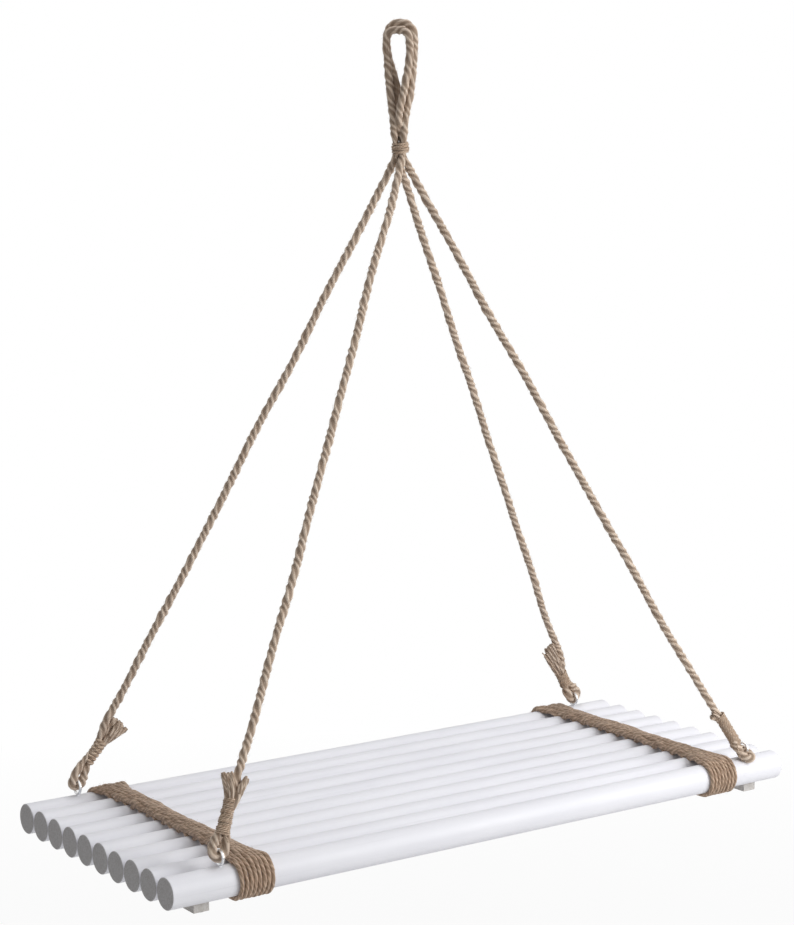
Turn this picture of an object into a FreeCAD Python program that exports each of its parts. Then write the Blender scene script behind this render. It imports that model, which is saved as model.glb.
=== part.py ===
import FreeCAD, Part
import math
import os

# Porch swing seat: ten round dowels lashed side by side, hung by four ropes from one rope loop.
# Millimetres. The origin is where a hook carries the loop, +X runs along the dowels,
# +Y to the back of the seat and +Z up.

V = FreeCAD.Vector

# Seat of round dowels
dowel_count = 10
dowel_length = 750.0
dowel_diameter = 30.0
dowel_gap = 1.0
dowel_chamfer = 0.8
hanging_drop = 770.0          # from the hook down to the dowels' axes
seat_shift_x = 13.4           # the four ropes are a little uneven, so the seat hangs off centre
seat_shift_y = -10.4

# Battens under the dowels, and the screws that hold them
batten_width = 16.0
batten_thickness = 8.0
batten_from_end = 36.0        # batten's middle, from the dowels' ends
batten_reach = 2.5            # past the outer dowels' axes
batten_gap = 0.05
screw_diameter = 3.2
screw_head_diameter = 6.4
screw_length = 24.0
screw_slot_width = 0.8
screw_slot_depth = 1.0
screw_point_diameter = 0.4
screw_play = 0.05             # round a screw or a shank, on the radius
drill_spare = 1.5             # a drilled hole goes this much deeper than what it holds

# Screw eyes in the outer dowels
eye_wire = 2.8
eye_lift = 0.2
eye_play = 3.6                # bore wider than the rope that runs through it
eye_depth = 20.0              # of the shank in the wood

# Rope
rope_diameter = 8.4
rope_squeeze = 1.0            # thinner where it bends round the eye
bound_diameter = 8.0          # two strands pressed together under a whipping
shoulder_diameter = 12.2      # where the two strands part above a whipping
throat_diameter = 11.8        # and below it, over the eye
throat_length = 5.5
bight_gape = 1.8              # the bight stands this much further from the eye's wire at its sides
bight_belly = 1.5             # height of its widest place above the top of the eye
bight_end_spread = 4.8        # between its two ends, inside the bound part
bight_end_lean = 0.35         # their slant
leg_inset = 2.0               # the leg's end, past the bound part's head
tail_root_diameter = 6.7      # a frayed tail where it leaves the bound part
strand_gap = 0.6
seat_clearance = 0.3          # between pieces that lie against each other

# Hanging loop, neck and knot
hook_radius = 9.0
loop_turn = 30.0              # degrees from +X to the hook's axis
loop_splay = 0.8              # of a strand, two diameters above the neck
outer_shoulder_lift = 6.1     # of the outer rope off the hook's round, beside the crown
outer_crown_lift = 8.1        # at the crown
outer_side_lift = 3.6         # and at the hook's sides
side_closing = 0.95           # how far apart the ropes lie along the hook at its sides, at the
shoulder_closing = 0.8        # shoulders and at the crown, as shares of that at the neck
crown_closing = 0.6
neck_drop = 80.0              # from the hook to the neck, which takes the twist
knot_drop = 112.0             # from the hook to the knot's middle, where the seat swings
knot_core_diameter = 13.8
knot_core_end_diameter = 11.2

# Windings
lash_cord = 4.1
lash_turns = 8
lash_step = 4.65
lash_from_end = 87.0          # lashing's middle, from the dowels' ends
lash_waist = 53.0             # degrees by which neighbouring turns stack over the seat
lash_tuck = 25.0              # straight end of the cord under the seat
twine = 2.4
twine_step = 2.95
knot_twine = 2.6
knot_twine_step = 3.1
knot_turns = 5

# Corners of the seat: how far each screw eye stands from the dowels' ends and where its rope's axis
# leaves the knot; how far the rope's bight stands above the eye, the whipping's length, and the
# frayed tail's length, width and tilt, and the side (along X) that it stands on
corners = {
    "front_left": dict(x=-1, y=-1, eye_from_end=56.5, leave_x=-1.1, leave_y=-6.1,
                       bight=14.0, whip=35.0, tail=24.0, brush=12.0, tilt=12.0, side=-1),
    "back_left": dict(x=-1, y=1, eye_from_end=56.5, leave_x=-5.0, leave_y=2.3,
                      bight=18.0, whip=29.0, tail=25.0, brush=14.0, tilt=38.0, side=1),
    "back_right": dict(x=1, y=1, eye_from_end=48.0, leave_x=-0.3, leave_y=7.1,
                       bight=14.0, whip=22.0, tail=27.0, brush=11.0, tilt=9.0, side=-1),
    "front_right": dict(x=1, y=-1, eye_from_end=44.0, leave_x=4.8, leave_y=-2.2,
                        bight=13.0, whip=37.0, tail=11.0, brush=9.0, tilt=16.0, side=-1),
}

# Sizes that follow
dowel_radius = dowel_diameter / 2
dowel_pitch = dowel_diameter + dowel_gap
half_depth = dowel_pitch * (dowel_count - 1) / 2
rope_radius = rope_diameter / 2
strand_pitch = rope_diameter + strand_gap
bight_diameter = rope_diameter - rope_squeeze
eye_bore_radius = (bight_diameter + eye_play) / 2
eye_radius = eye_bore_radius + eye_wire / 2
seat_centre = V(seat_shift_x, seat_shift_y, -hanging_drop)
knot = V(0, 0, -knot_drop)
X, Y, Z = V(1, 0, 0), V(0, 1, 0), V(0, 0, 1)


def unit(vector):
    """The same direction with length one."""
    return V(vector) * (1 / vector.Length)


def in_seat(x, y, z):
    """A point given from the seat's middle, on the plane of the dowels' axes."""
    return seat_centre + V(x, y, z)


def eye_x(corner):
    """How far a screw eye stands from the seat's middle along the dowels."""
    return corner["x"] * (dowel_length / 2 - corner["eye_from_end"])


def arc_edge(start, corner, end):
    """One arc whose end tangents meet at the corner, or a straight run where they line up."""
    middle = (start + end) * 0.5
    rise = corner - middle
    half = (end - start).Length / 2
    if rise.Length < 1e-4 * half:
        return Part.LineSegment(start, end).toShape()
    sag = half * math.tan(math.atan2(rise.Length, half) / 2)
    return Part.Arc(start, middle + unit(rise) * sag, end).toShape()


def biarc(here, there):
    """Two arcs that join two points and keep the direction at each."""
    p0, t0 = here
    p1, t1 = there
    reach = p1 - p0
    along = reach.dot(t0 + t1)
    turn = 2 * (1 - t0.dot(t1))
    if turn < 1e-9:
        step = reach.dot(reach) / (4 * reach.dot(t1))
    else:
        step = (math.sqrt(along ** 2 + turn * reach.dot(reach)) - along) / turn
    corner0 = p0 + t0 * step
    corner1 = p1 - t1 * step
    joint = (corner0 + corner1) * 0.5
    return [arc_edge(p0, corner0, joint), arc_edge(joint, corner1, p1)]


def tube(name, path, diameter):
    """Round tube through a list of (point, direction), its volume checked against its length."""
    edges = []
    for here, there in zip(path, path[1:]):
        edges += biarc(here, there)
    spine = Part.Wire(edges)
    section = Part.Wire(Part.Circle(path[0][0], path[0][1], diameter / 2).toShape())
    solid = spine.makePipeShell([section], True, False)
    expected = math.pi * diameter ** 2 / 4 * spine.Length
    radii = [edge.Curve.Radius for edge in edges if hasattr(edge.Curve, "Radius")]
    print(name, "length", round(spine.Length, 1), "volume ratio", round(solid.Volume / expected, 4),
          "least radius", round(min(radii), 2), "closed", solid.isValid() and solid.isClosed())
    return solid, spine


def least_gap(name, spine, diameter):
    """Least gap of a winding to itself, measured between points of its line."""
    spacing = diameter / 3
    points = spine.discretize(Number=int(spine.Length / spacing))
    skip = int(2.5 * diameter / spacing)
    cells = {}
    for index, point in enumerate(points):
        cell = tuple(int(math.floor(value / (2 * diameter))) for value in point)
        cells.setdefault(cell, []).append((index, point))
    near = [(a, b, c) for a in (-1, 0, 1) for b in (-1, 0, 1) for c in (-1, 0, 1)]
    least = 10 * diameter
    for (i, j, k), held in cells.items():
        around = [item for a, b, c in near for item in cells.get((i + a, j + b, k + c), [])]
        for index, point in held:
            for other, place in around:
                if other > index + skip:
                    least = min(least, point.distanceToPoint(place))
    print(name, "least gap to itself", round(least - diameter, 2))


def winding(name, path, diameter):
    """A wound cord: one unbroken tube whose gap to itself is printed."""
    solid, spine = tube(name, path, diameter)
    least_gap(name, spine, diameter)
    return solid


def coil_path(base, axis, side, radius_at, height, step, lead):
    """Helix round an axis: a point each half turn, and a straight end one diameter long."""
    across = axis.cross(side)
    halves = int(round(2 * height / step))

    def place(turn):
        radius = radius_at(turn * step)
        angle = 2 * math.pi * turn
        return base + axis * (turn * step) + (side * math.cos(angle) + across * math.sin(angle)) * radius

    def heading(turn):
        return unit(place(turn + 0.001) - place(turn - 0.001))

    path = [(place(index / 2), heading(index / 2)) for index in range(halves + 1)]
    first, last = path[0], path[-1]
    path.insert(0, (first[0] - first[1] * lead, first[1]))
    path.append((last[0] + last[1] * lead, last[1]))
    return path


def dowel(index):
    """One round bar along X, its ends eased, drilled for its screws and, outside, for its eyes."""
    y = (index - (dowel_count - 1) / 2) * dowel_pitch
    start = in_seat(-dowel_length / 2, y, 0)
    bar = Part.makeCylinder(dowel_radius, dowel_length, start, X)
    rims = [edge for edge in bar.Edges if isinstance(edge.Curve, Part.Circle)]
    bar = bar.makeChamfer(dowel_chamfer, rims)
    drill = []
    for side in (-1, 1):
        x = side * (dowel_length / 2 - batten_from_end)
        depth = screw_length - batten_thickness - batten_gap + dowel_radius + drill_spare
        mouth = in_seat(x, y, -2 * dowel_radius)
        drill.append(Part.makeCylinder(screw_diameter / 2 + screw_play, depth, mouth, Z))
    for corner in corners.values():
        if index == (0 if corner["y"] < 0 else dowel_count - 1):
            depth = eye_depth + drill_spare
            mouth = in_seat(eye_x(corner), y, dowel_radius - depth)
            drill.append(Part.makeCylinder(eye_wire / 2 + screw_play, depth + dowel_radius, mouth, Z))
    return bar.cut(drill)


def screw_profile(grow):
    """Countersunk screw standing on its head at the origin, point up; grow widens it for its hole."""
    radius = screw_diameter / 2 + grow
    head = screw_head_diameter / 2 + grow
    rise = head - radius
    shank = Part.makeCylinder(radius, screw_length - 2 * radius, V(0, 0, 0), Z)
    cone = Part.makeCone(head, radius, rise, V(0, 0, 0), Z)
    tip = V(0, 0, screw_length - 2 * radius)
    point = Part.makeCone(radius, screw_point_diameter / 2, 2 * radius, tip, Z)
    return shank.fuse([cone, point])


def screw_places(side):
    """Head centres of one batten's screws, flush with its underside."""
    x = side * (dowel_length / 2 - batten_from_end)
    z = -dowel_radius - batten_gap - batten_thickness
    rows = range(dowel_count)
    return [in_seat(x, (row - (dowel_count - 1) / 2) * dowel_pitch, z) for row in rows]


def batten(side):
    """Flat strip across the dowels' undersides, with a countersunk hole for each screw."""
    x = side * (dowel_length / 2 - batten_from_end) - batten_width / 2
    length = 2 * (half_depth + batten_reach)
    corner = in_seat(x, -length / 2, -dowel_radius - batten_gap - batten_thickness)
    strip = Part.makeBox(batten_width, length, batten_thickness, corner)
    holes = [screw_profile(screw_play).translated(place) for place in screw_places(side)]
    return strip.cut(holes)


def batten_screws():
    """All the screws of both battens, a slot across each head."""
    slot = Part.makeBox(screw_head_diameter, screw_slot_width, screw_slot_depth,
                        V(-screw_head_diameter / 2, -screw_slot_width / 2, 0))
    screw = screw_profile(0).cut(slot)
    return Part.makeCompound([screw.translated(place) for side in (-1, 1) for place in screw_places(side)])


def eye_top(corner):
    """Middle of the wire at the top of a screw eye, which the rope bends round."""
    height = dowel_radius + eye_lift + eye_wire / 2 + 2 * eye_radius
    return in_seat(eye_x(corner), corner["y"] * half_depth, height)


def screw_eye(corner):
    """Wire ring across X on a shank that is screwed into the dowel."""
    centre = eye_top(corner) - Z * eye_radius
    ring = Part.makeTorus(eye_radius, eye_wire / 2, centre, X)
    foot = centre - Z * eye_radius
    depth = eye_lift + eye_depth
    shank = Part.makeCylinder(eye_wire / 2, depth, foot, -Z)
    point = Part.makeCone(eye_wire / 2, screw_point_diameter / 2, eye_wire / 2, foot - Z * depth, -Z)
    return ring.fuse([shank, point])


def rope_lines(corner):
    """Where one leg of rope runs: from the knot to its whipping, and from there to the eye."""
    top = eye_top(corner)
    leave = knot + V(corner["leave_x"], corner["leave_y"], -knot_reach() / 2)
    pull = unit(leave - top)
    rise = unit(V(pull.x, 0, pull.z))
    bound_foot = top + rise * corner["bight"]
    bound_head = bound_foot + pull * corner["whip"]
    across = unit(X - pull * pull.x)
    enter = bound_head + pull * leg_inset - across * corner["side"] * bound_diameter / 4
    return top, leave, pull, rise, bound_foot, bound_head, across, enter


def rope_leg(name, corner):
    """One rope from the knot to its eye: the taut leg, the bound double part, bight and tail."""
    top, leave, pull, rise, bound_foot, bound_head, across, enter = rope_lines(corner)
    run = enter - leave
    taut = Part.makeCylinder(rope_radius, run.Length, leave, unit(run))
    bound = Part.makeCylinder(bound_diameter / 2, corner["whip"], bound_foot, pull)
    shoulder = Part.makeCone(bound_diameter / 2, shoulder_diameter / 2, rope_diameter, bound_head, pull)
    throat = Part.makeCone(bound_diameter / 2, throat_diameter / 2, throat_length, bound_foot, -rise)
    sideways = V(rise.z, 0, -rise.x)
    bend = bight_diameter / 2 + seat_clearance + eye_wire / 2
    wide = bend + bight_gape
    slim = bight_end_spread / 2
    high = corner["bight"] - rope_radius
    path = [(top - sideways * slim + rise * high, unit(sideways * -bight_end_lean - rise)),
            (top - sideways * wide + rise * bight_belly, -rise),
            (top - rise * bend, sideways),
            (top + sideways * wide + rise * bight_belly, rise),
            (top + sideways * slim + rise * high, unit(rise - sideways * bight_end_lean))]
    bight, spine = tube("bight " + name, path, bight_diameter)
    tilt = math.radians(corner["tilt"])
    lie = unit(pull * math.cos(tilt) + across * (corner["side"] * math.sin(tilt)))
    root = bound_head + pull * rope_radius + across * (corner["side"] * bound_diameter / 4)
    tail = Part.makeCone(tail_root_diameter / 2, corner["brush"] / 2, corner["tail"], root, lie)
    whole = taut.fuse([bound, shoulder, throat, bight, tail])
    return whole.cut(Part.makeSphere(knot_reach() + seat_clearance, knot))


def whipping(name, corner):
    """Twine wound round the doubled rope above an eye."""
    top, leave, pull, rise, bound_foot, bound_head, across, enter = rope_lines(corner)
    radius = bound_diameter / 2 + seat_clearance + twine / 2
    inset = twine
    height = corner["whip"] - 2 * inset
    path = coil_path(bound_foot + pull * inset, pull, across, lambda along: radius,
                     height, twine_step, twine)
    return winding("whipping " + name, path, twine)


def knot_half_height():
    """Half the height from the first turn of the knot's twine to the last."""
    return knot_turns * knot_twine_step / 2 - knot_twine_step / 4


def core_radius(along):
    """Radius of the bound ropes inside the knot: a round swell, fattest at the middle."""
    swell = (knot_core_diameter - knot_core_end_diameter) / 2
    half = knot_half_height() + knot_twine
    round_of_swell = (half ** 2 + swell ** 2) / (2 * swell)
    return knot_core_diameter / 2 - round_of_swell + math.sqrt(round_of_swell ** 2 - along ** 2)


def knot_reach():
    """Radius of the ball, round the pivot, that the whole knot stays inside."""
    side = core_radius(knot_half_height()) + seat_clearance + knot_twine / 2
    return math.hypot(side, knot_half_height()) + knot_twine


def top_seizing():
    """Twine wound round the four ropes where they are tied together."""
    half = knot_half_height()
    cover = seat_clearance + knot_twine / 2
    path = coil_path(knot - Z * half, Z, Y, lambda along: core_radius(along - half) + cover,
                     2 * half, knot_twine_step, knot_twine / 2)
    return winding("top seizing", path, knot_twine)


def bound_ropes():
    """The four ropes pressed together inside the knot, its ends rounded about the pivot."""
    reach = knot_reach()
    end = knot_core_end_diameter / 2
    side = knot_half_height() + knot_twine
    high = math.sqrt(reach ** 2 - end ** 2)
    slant = math.atan2(end, high) / 2
    crown = V(reach * math.sin(slant), 0, reach * math.cos(slant))
    outline = [Part.Arc(V(0, 0, reach), crown, V(end, 0, high)).toShape(),
               Part.LineSegment(V(end, 0, high), V(end, 0, side)).toShape(),
               Part.Arc(V(end, 0, side), V(knot_core_diameter / 2, 0, 0), V(end, 0, -side)).toShape(),
               Part.LineSegment(V(end, 0, -side), V(end, 0, -high)).toShape(),
               Part.Arc(V(end, 0, -high), V(crown.x, 0, -crown.z), V(0, 0, -reach)).toShape(),
               Part.LineSegment(V(0, 0, -reach), V(0, 0, reach)).toShape()]
    return Part.Face(Part.Wire(outline)).revolve(V(0, 0, 0), Z, 360).translated(knot)


def loop_point(across, along, z):
    """A point of the hanging loop: across its opening, along the hook, and height."""
    turn = math.radians(loop_turn)
    hook_axis = V(math.cos(turn), math.sin(turn), 0)
    opening = V(math.sin(turn), -math.cos(turn), 0)
    return opening * across + hook_axis * along + V(0, 0, z)


def loop_rope(name, side):
    """One rope over the hook: side -1 lies on the hook, side 1 behind it and over the top."""
    half = strand_pitch / 2
    bend = hook_radius + rope_radius
    centre = -hook_radius
    outer = side > 0
    shoulder = bend + (outer_shoulder_lift if outer else 0)
    crown = bend + (outer_crown_lift if outer else 0)
    widest = bend + (outer_side_lift if outer else 0)
    slant = shoulder * math.sqrt(0.5)
    climb = [(half, side * half, -neck_drop),
             (half + loop_splay, side * half, -neck_drop + 2 * rope_diameter),
             (bend, side * half, centre - 1.5 * rope_diameter),
             (widest, side * half * side_closing, centre),
             (slant, side * half * shoulder_closing, centre + slant),
             (0, side * half * crown_closing, centre + crown)]
    up = [loop_point(-across, along, z) for across, along, z in climb]
    down = [loop_point(across, along, z) for across, along, z in reversed(climb[:-1])]
    points = up + down
    path = [(points[0], Z)]
    for before, here, after in zip(points, points[1:], points[2:]):
        path.append((here, unit(after - before)))
    path.append((points[-1], -Z))
    return tube(name, path, rope_diameter)[0]


def neck_rope(side):
    """The two strands of one rope between the loop and the knot."""
    half = strand_pitch / 2
    length = knot_drop - neck_drop - seat_clearance
    strands = []
    for across in (-1, 1):
        head = loop_point(across * half, side * half, -neck_drop - seat_clearance)
        strand = Part.makeCylinder(rope_radius, length, head, -Z)
        strands.append(strand.cut(Part.makeSphere(knot_reach() + seat_clearance, knot)))
    return Part.makeCompound(strands)


def lashing(name, side):
    """Cord wound right round all the dowels: flat at the edges, stacked in two layers on top."""
    centre = side * (dowel_length / 2 - lash_from_end)
    lie = dowel_radius + seat_clearance + lash_cord / 2
    middle = (lash_turns - 1) / 2
    path = [(in_seat(centre - middle * lash_step, half_depth - lash_tuck, -lie), Y)]
    for turn in range(lash_turns):
        x = centre + (turn - middle) * lash_step
        path += [(in_seat(x, half_depth, -lie), Y),
                 (in_seat(x, half_depth + lie, 0), Z),
                 (in_seat(x, half_depth, lie), -Y)]
        over = []
        for share in (1, 0.5, 0, -0.5, -1):
            stack = math.radians(lash_waist * (1 - abs(share)))
            lift = lash_step * math.sin(stack) * (turn % 2)
            over.append(in_seat(centre + (turn - middle) * lash_step * math.cos(stack),
                                share * half_depth, lie + lift))
        for before, here, after in zip(over, over[1:], over[2:]):
            path.append((here, unit(after - before)))
        path += [(in_seat(x, -half_depth, lie), -Y),
                 (in_seat(x, -half_depth - lie, 0), -Z),
                 (in_seat(x, -half_depth, -lie), Y)]
    path.append((in_seat(centre + middle * lash_step, lash_tuck - half_depth, -lie), Y))
    return winding(name, path, lash_cord)


def save(name, shape):
    """One STEP file for one sub-part."""
    shape.exportStep("parts/" + name + ".step")
    print("saved", name, "solids", len(shape.Solids), "valid", shape.isValid())


def main():
    os.makedirs("parts", exist_ok=True)
    for index in range(dowel_count):
        save("dowel_%02d" % (index + 1), dowel(index))
    for name, side in (("left", -1), ("right", 1)):
        save("batten_" + name, batten(side))
        save("lashing_" + name, lashing("lashing_" + name, side))
    save("batten_screws", batten_screws())
    for name, corner in corners.items():
        save("screw_eye_" + name, screw_eye(corner))
        save("rope_" + name, rope_leg(name, corner))
        save("whipping_" + name, whipping(name, corner))
    for name, side in (("inner", -1), ("outer", 1)):
        save("loop_rope_" + name, loop_rope("loop_rope_" + name, side))
        save("neck_rope_" + name, neck_rope(side))
    save("bound_ropes", bound_ropes())
    save("top_seizing", top_seizing())


main()
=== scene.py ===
import bpy
import math
import numpy as np
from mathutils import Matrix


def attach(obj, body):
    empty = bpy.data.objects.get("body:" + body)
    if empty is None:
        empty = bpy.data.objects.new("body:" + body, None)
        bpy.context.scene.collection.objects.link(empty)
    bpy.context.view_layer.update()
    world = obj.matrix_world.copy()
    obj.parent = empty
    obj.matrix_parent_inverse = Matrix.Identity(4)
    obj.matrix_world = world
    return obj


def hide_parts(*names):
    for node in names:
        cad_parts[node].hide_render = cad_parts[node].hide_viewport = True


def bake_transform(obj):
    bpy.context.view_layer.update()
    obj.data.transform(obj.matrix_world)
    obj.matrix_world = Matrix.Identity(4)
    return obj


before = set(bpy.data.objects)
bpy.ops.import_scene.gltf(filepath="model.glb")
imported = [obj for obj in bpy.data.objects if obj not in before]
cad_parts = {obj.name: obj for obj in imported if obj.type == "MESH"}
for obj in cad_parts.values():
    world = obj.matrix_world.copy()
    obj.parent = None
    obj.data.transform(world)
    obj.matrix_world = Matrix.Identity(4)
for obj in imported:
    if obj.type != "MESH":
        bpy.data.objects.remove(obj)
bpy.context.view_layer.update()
scene = bpy.context.scene
mm = 0.001
print("frame loaded,", len(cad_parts), "nodes")

# camera at the photo's viewing angle, all lengths in metres
view = dict(place=(-1.2872, -1.8205, -0.1269), pitch=82.33, heading=-35.2, lens=86.1, sensor=36)
lens = bpy.data.cameras.new("viewCamera")
lens.lens = view["lens"]
lens.sensor_width = view["sensor"]
camera = bpy.data.objects.new("viewCamera", lens)
camera.location = view["place"]
camera.rotation_euler = (math.radians(view["pitch"]), 0, math.radians(view["heading"]))
scene.collection.objects.link(camera)
scene.camera = camera


def unit(v):  # v / |v| for every row
    v = np.asarray(v, float)
    return v / np.linalg.norm(v, axis=-1, keepdims=True)


def ease(a, b, x):  # 0 up to a, 1 from b on, t*t*(3 - 2t) between them
    t = np.clip((np.asarray(x, float) - a) / (b - a), 0, 1)
    return t * t * (3 - 2 * t)


def wander(s, waves, size, seed):  # mean of size*sin(2 pi s/wave + random phase) over the waves
    phase = np.random.default_rng(seed).uniform(0, 2 * np.pi, len(waves))
    return size * np.sin(2 * np.pi * np.asarray(s)[:, None] / np.array(waves) + phase).mean(1)


def alongLine(line):  # running length of a row of points
    return np.concatenate([[0], np.cumsum(np.linalg.norm(np.diff(line, axis=0), axis=1))])


def spaced(line, step):  # the same line at even steps
    run = alongLine(line)
    at = np.linspace(0, run[-1], max(3, int(round(run[-1] / step)) + 1))
    return np.column_stack([np.interp(at, run, line[:, k]) for k in range(3)])


def smoothLine(name, points, step):
    # NURBS spline of order 3 through a cord's route, read back as a row of points at even steps
    route = bpy.data.curves.new(name, "CURVE")
    route.dimensions = "3D"
    route.resolution_u = 24
    spline = route.splines.new("NURBS")
    spline.points.add(len(points) - 1)
    spline.points.foreach_set("co", np.column_stack([points, np.ones(len(points))]).ravel())
    spline.order_u = 3
    spline.use_endpoint_u = True
    holder = bpy.data.objects.new(name, route)
    drawn = bpy.data.meshes.new_from_object(holder)
    line = np.empty(3 * len(drawn.vertices))
    drawn.vertices.foreach_get("co", line)
    bpy.data.objects.remove(holder)
    bpy.data.curves.remove(route)
    bpy.data.meshes.remove(drawn)
    return spaced(line.reshape(-1, 3), step)


def ringAxes(line, facing):  # tangent = d line/ds, side = tangent x facing, rise = side x tangent
    tangent = unit(np.gradient(line, axis=0))
    side = unit(np.cross(tangent, facing))
    return tangent, side, np.cross(side, tangent)


class Stock:
    # gathers closed tubes (tube, ring, place round the ring) into one mesh, with lengths in metres as its
    # UV map
    def __init__(self):
        self.points, self.quads, self.tris = [], [], []
        self.quadUv, self.triUv = [], []
        self.groove, self.tone = [], []
        self.size = 0

    def add(self, tubes, run, girth, groove=0.0, tone=0.5):
        # run: length at each ring, girth: way round the tube, both give the UV map; groove and tone: 0 to 1
        many, rings, around, _ = tubes.shape
        grid = self.size + np.arange(many * rings * around).reshape(many, rings, around)
        turn = np.roll(grid, -1, axis=2)
        wall = np.stack([grid[:, :-1], grid[:, 1:], turn[:, 1:], turn[:, :-1]], -1)
        self.quads.append(wall.reshape(-1, 4))
        run = np.broadcast_to(np.asarray(run, float), (many, rings))
        u = np.broadcast_to(run[:, :, None], (many, rings, around))
        v = np.broadcast_to(np.arange(around) / around * girth, (many, rings, around))
        low = np.stack([u, v], -1)
        high = np.stack([u, v + girth / around], -1)
        laid = np.stack([low[:, :-1], low[:, 1:], high[:, 1:], high[:, :-1]], -2)
        self.quadUv.append(laid.reshape(-1, 2))
        ends = np.stack([tubes[:, 0].mean(1), tubes[:, -1].mean(1)], 1)
        heart = self.size + many * rings * around + np.arange(2 * many).reshape(many, 2)
        first = np.stack([np.broadcast_to(heart[:, :1], (many, around)), grid[:, 0], turn[:, 0]], -1)
        last = np.stack([np.broadcast_to(heart[:, 1:], (many, around)), turn[:, -1], grid[:, -1]], -1)
        self.tris.append(np.concatenate([first, last]).reshape(-1, 3))
        self.triUv.append(np.zeros((2 * many * around * 3, 2)))
        self.points.append(np.concatenate([tubes.reshape(-1, 3), ends.reshape(-1, 3)]))
        for kept, value in ((self.groove, groove), (self.tone, tone)):
            value = np.broadcast_to(value, (many, rings, around)).reshape(-1)
            kept.append(np.concatenate([value, np.full(2 * many, float(value.mean()))]))
        self.size += many * rings * around + 2 * many

    def piece(self, name, material, slot):  # the gathered tubes as one object
        mesh = bpy.data.meshes.new(name)
        quads, tris = np.concatenate(self.quads), np.concatenate(self.tris)
        mesh.from_pydata(np.concatenate(self.points), [], quads.tolist() + tris.tolist())
        uv = mesh.uv_layers.new(name="lay")
        uv.data.foreach_set("uv", np.concatenate(self.quadUv + self.triUv).ravel())
        for label, kept in (("groove", self.groove), ("tone", self.tone)):
            values = mesh.attributes.new(label, "FLOAT", "POINT").data
            values.foreach_set("value", np.concatenate(kept))
        mesh.polygons.foreach_set("use_smooth", np.ones(len(mesh.polygons), bool))
        mesh.materials.append(material)
        made = bpy.data.objects.new(name, mesh)
        scene.collection.objects.link(made)
        return made


# how uneven every rope is: waves in lays, slip in radians, plump as a share of the radius; rounding softens
# the edge between strand and groove, and a groove is fully dark from shallow above its floor
strandWork = dict(slipWaves=(0.8, 2.3, 7.1), slip=1.1, plumpWaves=(0.6, 1.9), plump=0.10, seedStep=7,
                  rounding=0.0016, shallow=0.02)


def layRope(stock, line, facing, radius, lay, strands=3, around=36, turn=0.0, floor=0.8, start=0.0, seed=0,
            paintedShade=0.0):
    # radius * (c cos a + sqrt(b*b - c*c sin a * sin a)), the outline of strands laid side by side, with its
    # grooves filled up to floor, turned by 2 pi s/lay along the line; lay and strands are a little uneven;
    # the last argument (0 to 1 along the line) is painted shade that darkens the whole rope as its grooves
    # are dark
    work = strandWork
    along = alongLine(line) + start
    _, side, rise = ringAxes(line, facing)
    wide = math.sin(math.pi / strands)
    b, c = wide / (1 + wide), 1 / (1 + wide)
    angle = np.arange(around) * 2 * np.pi / around
    slip = wander(along, lay * np.array(work["slipWaves"]), work["slip"], seed)
    swing = angle[None] - (2 * np.pi * along / lay + turn + slip)[:, None]
    sector = 2 * np.pi / strands
    off = np.mod(swing, sector) - np.pi / strands
    which = np.mod(np.floor(swing / sector), strands).astype(int)
    waves = lay * np.array(work["plumpWaves"])
    plump = np.stack([wander(along, waves, work["plump"], seed + work["seedStep"] * k)
                      for k in range(strands)], 1)
    shape = c * np.cos(off) + np.sqrt(np.clip(b * b - (c * np.sin(off)) ** 2, 0, None))
    shape = (shape + floor) / 2 + np.sqrt(((shape - floor) / 2) ** 2 + work["rounding"])
    groove = np.clip((1 - shape) / (1 - floor - work["shallow"]), 0, 1)
    reach = shape * (1 + np.take_along_axis(plump, which, 1) * (1 - groove))
    reach = reach * np.broadcast_to(radius, along.shape)[:, None]
    ring = np.cos(angle)[None, :, None] * side[:, None] + np.sin(angle)[None, :, None] * rise[:, None]
    # painted shade, added to the groove value after the outline is made, so it darkens only the colour
    groove = np.clip(groove + np.broadcast_to(paintedShade, along.shape)[:, None], 0, 1)
    stock.add((line[:, None] + reach[..., None] * ring)[None], along, 2 * np.pi * float(np.mean(radius)),
              groove[None], (which / max(1, strands - 1))[None])


# loose fibres: shortest as a share of their reach, lean and curl as slopes, root as a share of the radius,
# widths from root to tip, run and girth in metres of the UV map
fibreWork = dict(shortest=0.4, lean=(0.5, 1.2), forward=0.8, curl=0.6, droop=0.9, root=0.86, corners=3,
                 widths=(1.0, 0.8, 0.3), askew=(0.31, 0.77, 0.55), run=0.004, girth=0.0005)


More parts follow.
